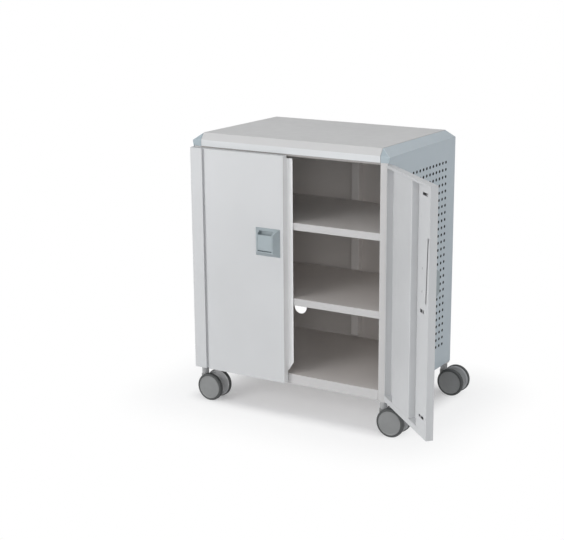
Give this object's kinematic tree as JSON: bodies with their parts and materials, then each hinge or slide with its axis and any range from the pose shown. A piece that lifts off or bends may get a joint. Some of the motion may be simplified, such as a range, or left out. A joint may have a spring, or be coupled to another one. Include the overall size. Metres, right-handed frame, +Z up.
{
  "type": "mobile storage cabinet",
  "caption": "Folded steel storage cabinet on swivel twin-wheel casters, with hinged doors on piano hinges, paddle latches, shelves and a chamfered top.",
  "frame": {"origin": "on the floor under the middle of the body", "axes": "+X to the right seen from the front, +Y to the back, +Z up"},
  "size_m": [1.0593, 0.7987, 0.965],
  "materials": {
    "top_paint": "warm grey powder coat, satin",
    "door_paint": "light grey powder coat, satin",
    "side_paint": "blue-grey powder coat on perforated sheet",
    "inside_paint": "taupe powder coat, matte",
    "handle_plastic": "blue-grey moulded plastic",
    "caster_plastic": "grey moulded plastic with a darker tread",
    "socket_plastic": "light grey moulded plastic",
    "steel": "bare steel"
  },
  "bodies": {
    "cabinet_body": {"top_panel": "top_paint", "left_side_panel": "side_paint", "right_side_panel": "side_paint", "back_panel": "inside_paint", "back_stiffener": "inside_paint", "base_panel": "inside_paint", "header_rail": "inside_paint", "left_front_post": "door_paint", "right_front_post": "door_paint", "left_rear_post": "inside_paint", "right_rear_post": "inside_paint", "upper_shelf": "inside_paint", "lower_shelf": "inside_paint", "left_hinge_frame_leaf": "door_paint", "right_hinge_frame_leaf": "door_paint", "left_hinge_pin": "steel", "right_hinge_pin": "steel", "left_front_caster_socket": "socket_plastic", "right_front_caster_socket": "socket_plastic", "left_rear_caster_socket": "socket_plastic", "right_rear_caster_socket": "socket_plastic"},
    "left_door": {"left_door_skin": "door_paint", "left_door_stiffener": "door_paint", "left_lock_channel": "door_paint", "left_hinge_door_leaf": "door_paint", "left_handle_housing": "handle_plastic", "left_paddle_pin": "steel", "left_meeting_strip": "door_paint"},
    "left_paddle": {"left_handle_paddle": "handle_plastic"},
    "left_rocker": {"left_latch_rocker": "steel"},
    "left_upper_rod": {"left_upper_latch_rod": "steel"},
    "left_lower_rod": {"left_lower_latch_rod": "steel"},
    "right_door": {"right_door_skin": "door_paint", "right_door_stiffener": "door_paint", "right_lock_channel": "door_paint", "right_hinge_door_leaf": "door_paint", "right_handle_housing": "handle_plastic", "right_paddle_pin": "steel"},
    "right_paddle": {"right_handle_paddle": "handle_plastic"},
    "right_rocker": {"right_latch_rocker": "steel"},
    "right_upper_rod": {"right_upper_latch_rod": "steel"},
    "right_lower_rod": {"right_lower_latch_rod": "steel"},
    "left_front_caster": {"left_front_caster_yoke": "caster_plastic", "left_front_axle": "steel"},
    "left_front_front_wheel": {"left_front_front_wheel": "caster_plastic"},
    "left_front_back_wheel": {"left_front_back_wheel": "caster_plastic"},
    "right_front_caster": {"right_front_caster_yoke": "caster_plastic", "right_front_axle": "steel"},
    "right_front_front_wheel": {"right_front_front_wheel": "caster_plastic"},
    "right_front_back_wheel": {"right_front_back_wheel": "caster_plastic"},
    "left_rear_caster": {"left_rear_caster_yoke": "caster_plastic", "left_rear_axle": "steel"},
    "left_rear_front_wheel": {"left_rear_front_wheel": "caster_plastic"},
    "left_rear_back_wheel": {"left_rear_back_wheel": "caster_plastic"},
    "right_rear_caster": {"right_rear_caster_yoke": "caster_plastic", "right_rear_axle": "steel"},
    "right_rear_front_wheel": {"right_rear_front_wheel": "caster_plastic"},
    "right_rear_back_wheel": {"right_rear_back_wheel": "caster_plastic"}
  },
  "joints": [
    {"name": "left_door_swing", "type": "hinge", "parent": "cabinet_body", "child": "left_door", "pos_m": [-0.3817, -0.262, 0.519], "axis": [0, 0, -1], "range_deg": [0, 180]},
    {"name": "left_paddle_pull", "type": "hinge", "parent": "left_door", "child": "left_paddle", "pos_m": [-0.0627, -0.2958, 0.5905], "axis": [1, 0, 0], "range_deg": [0, 16.5]},
    {"name": "left_rocker_turn", "type": "hinge", "parent": "left_door", "child": "left_rocker", "pos_m": [-0.0415, -0.2634, 0.5975], "axis": [0, 1, 0], "range_deg": [0, 34.5]},
    {"name": "left_upper_rod_slide", "type": "slide", "parent": "left_door", "child": "left_upper_rod", "axis": [0, 0, -1], "range_m": [0, 0.0054]},
    {"name": "left_lower_rod_slide", "type": "slide", "parent": "left_door", "child": "left_lower_rod", "axis": [0, 0, 1], "range_m": [0, 0.0053], "stiffness_N_per_m": 250, "springref_m": -0.012},
    {"name": "right_door_swing", "type": "hinge", "parent": "cabinet_body", "child": "right_door", "pos_m": [0.3817, -0.262, 0.519], "axis": [0, 0, 1], "range_deg": [-137.25, 42.75]},
    {"name": "right_paddle_pull", "type": "hinge", "parent": "right_door", "child": "right_paddle", "pos_m": [0.63889, -0.45372, 0.5905], "axis": [-0.7343, 0.6788, 0], "range_deg": [0, 16.5]},
    {"name": "right_rocker_turn", "type": "hinge", "parent": "right_door", "child": "right_rocker", "pos_m": [0.63247, -0.4919, 0.5975], "axis": [0.6788, 0.7343, 0], "range_deg": [0, 34.5]},
    {"name": "right_upper_rod_slide", "type": "slide", "parent": "right_door", "child": "right_upper_rod", "axis": [0, 0, -1], "range_m": [0, 0.0054]},
    {"name": "right_lower_rod_slide", "type": "slide", "parent": "right_door", "child": "right_lower_rod", "axis": [0, 0, 1], "range_m": [0, 0.0053], "stiffness_N_per_m": 250, "springref_m": -0.012},
    {"name": "left_front_swivel_turn", "type": "hinge", "parent": "cabinet_body", "child": "left_front_caster", "pos_m": [-0.3641, -0.2389, 0.1], "axis": [0, 0, 1], "continuous": true},
    {"name": "left_front_front_wheel_roll", "type": "hinge", "parent": "left_front_caster", "child": "left_front_front_wheel", "pos_m": [-0.3241, -0.2669, 0.05], "axis": [0, 1, 0], "continuous": true},
    {"name": "left_front_back_wheel_roll", "type": "hinge", "parent": "left_front_caster", "child": "left_front_back_wheel", "pos_m": [-0.3241, -0.2109, 0.05], "axis": [0, 1, 0], "continuous": true},
    {"name": "right_front_swivel_turn", "type": "hinge", "parent": "cabinet_body", "child": "right_front_caster", "pos_m": [0.3641, -0.2389, 0.1], "axis": [0, 0, 1], "continuous": true},
    {"name": "right_front_front_wheel_roll", "type": "hinge", "parent": "right_front_caster", "child": "right_front_front_wheel", "pos_m": [0.4041, -0.2669, 0.05], "axis": [0, 1, 0], "continuous": true},
    {"name": "right_front_back_wheel_roll", "type": "hinge", "parent": "right_front_caster", "child": "right_front_back_wheel", "pos_m": [0.4041, -0.2109, 0.05], "axis": [0, 1, 0], "continuous": true},
    {"name": "left_rear_swivel_turn", "type": "hinge", "parent": "cabinet_body", "child": "left_rear_caster", "pos_m": [-0.3641, 0.2371, 0.1], "axis": [0, 0, 1], "continuous": true},
    {"name": "left_rear_front_wheel_roll", "type": "hinge", "parent": "left_rear_caster", "child": "left_rear_front_wheel", "pos_m": [-0.3241, 0.2091, 0.05], "axis": [0, 1, 0], "continuous": true},
    {"name": "left_rear_back_wheel_roll", "type": "hinge", "parent": "left_rear_caster", "child": "left_rear_back_wheel", "pos_m": [-0.3241, 0.2651, 0.05], "axis": [0, 1, 0], "continuous": true},
    {"name": "right_rear_swivel_turn", "type": "hinge", "parent": "cabinet_body", "child": "right_rear_caster", "pos_m": [0.3641, 0.2371, 0.1], "axis": [0, 0, 1], "continuous": true},
    {"name": "right_rear_front_wheel_roll", "type": "hinge", "parent": "right_rear_caster", "child": "right_rear_front_wheel", "pos_m": [0.4041, 0.2091, 0.05], "axis": [0, 1, 0], "continuous": true},
    {"name": "right_rear_back_wheel_roll", "type": "hinge", "parent": "right_rear_caster", "child": "right_rear_back_wheel", "pos_m": [0.4041, 0.2651, 0.05], "axis": [0, 1, 0], "continuous": true}
  ],
  "couplings": [
    {"joint": "left_upper_rod_slide", "follows": "left_lower_rod_slide", "ratio": 1},
    {"joint": "left_paddle_pull", "follows": "left_lower_rod_slide", "rad_per_m": 52.689},
    {"joint": "left_rocker_turn", "follows": "left_lower_rod_slide", "rad_per_m": 110.65},
    {"joint": "right_upper_rod_slide", "follows": "right_lower_rod_slide", "ratio": 1},
    {"joint": "right_paddle_pull", "follows": "right_lower_rod_slide", "rad_per_m": 52.689},
    {"joint": "right_rocker_turn", "follows": "right_lower_rod_slide", "rad_per_m": 110.65}
  ]
}
